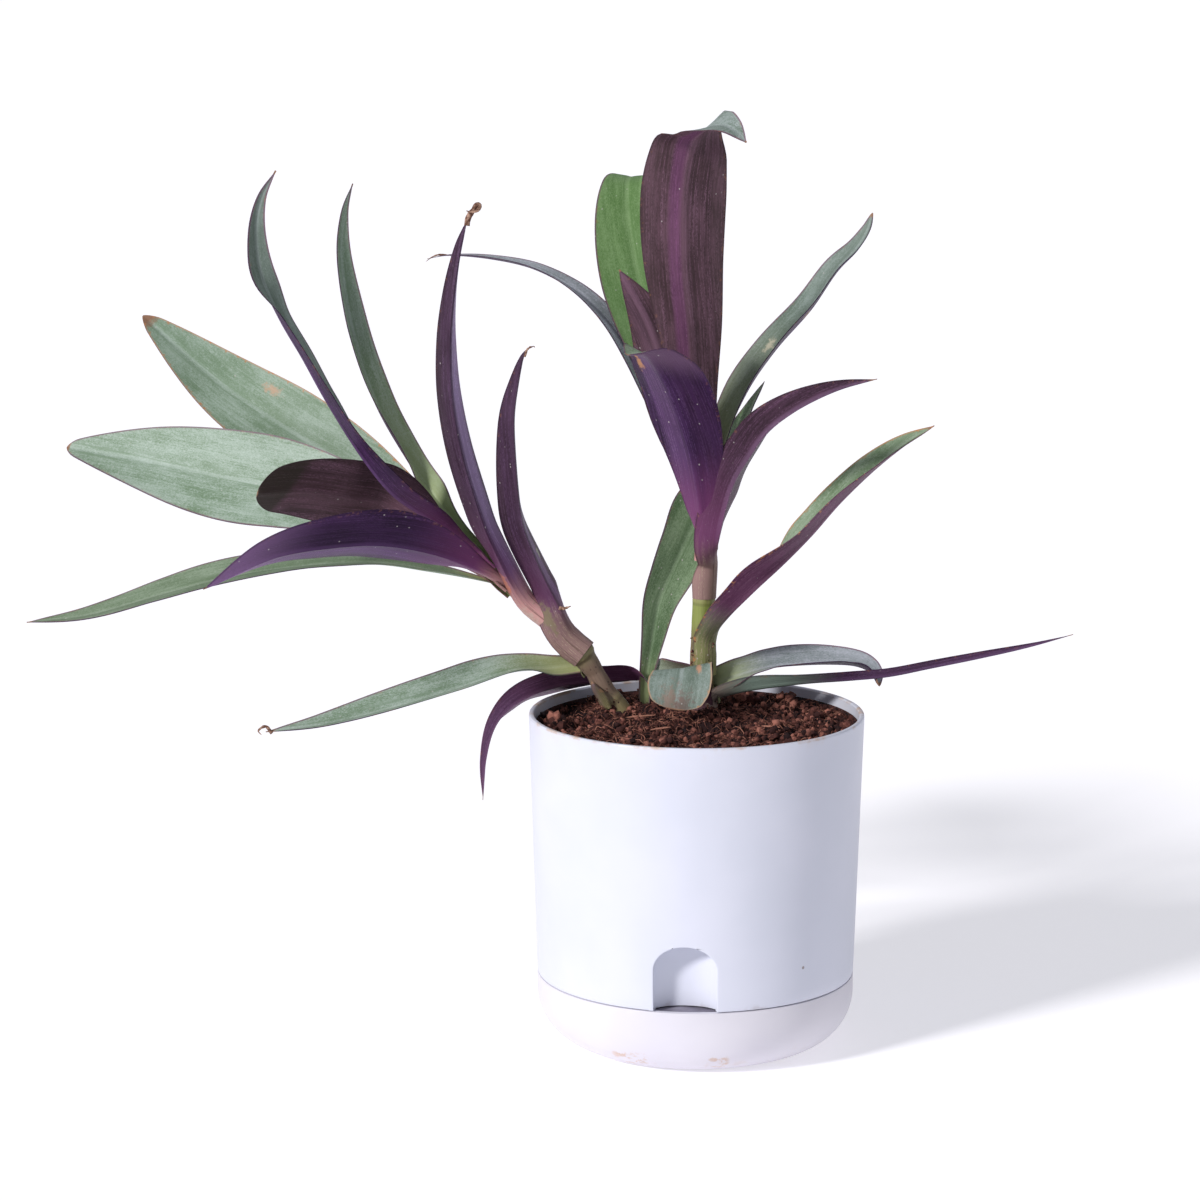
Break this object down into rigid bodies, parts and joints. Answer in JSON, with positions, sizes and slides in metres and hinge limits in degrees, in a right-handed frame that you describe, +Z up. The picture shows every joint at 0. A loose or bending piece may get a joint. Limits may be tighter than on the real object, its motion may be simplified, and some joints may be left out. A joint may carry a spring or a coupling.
{
  "type": "potted tradescantia",
  "caption": "Leaning strap-leaved tradescantia, green above and purple below, in a white self-watering planter with a filling arch.",
  "frame": {"origin": "centre of the dish's flat underside, on the pot's axis", "axes": "+Z up, -Y towards the filling arch, +X to the right seen from the arch"},
  "size_m": [0.3649, 0.1528, 0.3175],
  "materials": {
    "planter_plastic": "satin",
    "dish_plastic": "satin",
    "soil": "matte",
    "leaf": "satin",
    "stem": "satin"
  },
  "bodies": {
    "root": {"planter": "planter_plastic", "reservoir_dish": "dish_plastic", "soil": "soil", "stem_left": "stem", "stem_right": "stem", "left_leaf_right_upright": "leaf", "left_leaf_front_upright": "leaf", "left_leaf_low_front_arched": "leaf", "left_leaf_low_long": "leaf", "left_leaf_twisted": "leaf", "left_leaf_short_front": "leaf", "left_leaf_wide": "leaf", "left_leaf_upper_back": "leaf", "left_leaf_back_upright": "leaf", "left_leaf_lowest": "leaf", "right_leaf_right_spread": "leaf", "right_leaf_front_bent": "leaf", "right_leaf_right_arched": "leaf", "right_leaf_front_tall": "leaf", "right_leaf_small_side": "leaf", "right_leaf_right_back": "leaf", "right_leaf_left_arched": "leaf", "right_leaf_back_tall": "leaf", "right_leaf_from_soil": "leaf", "right_leaf_drooping": "leaf", "right_leaf_cut": "leaf", "right_leaf_low_arched": "leaf", "right_leaf_low_long": "leaf"}
  },
  "joints": []
}
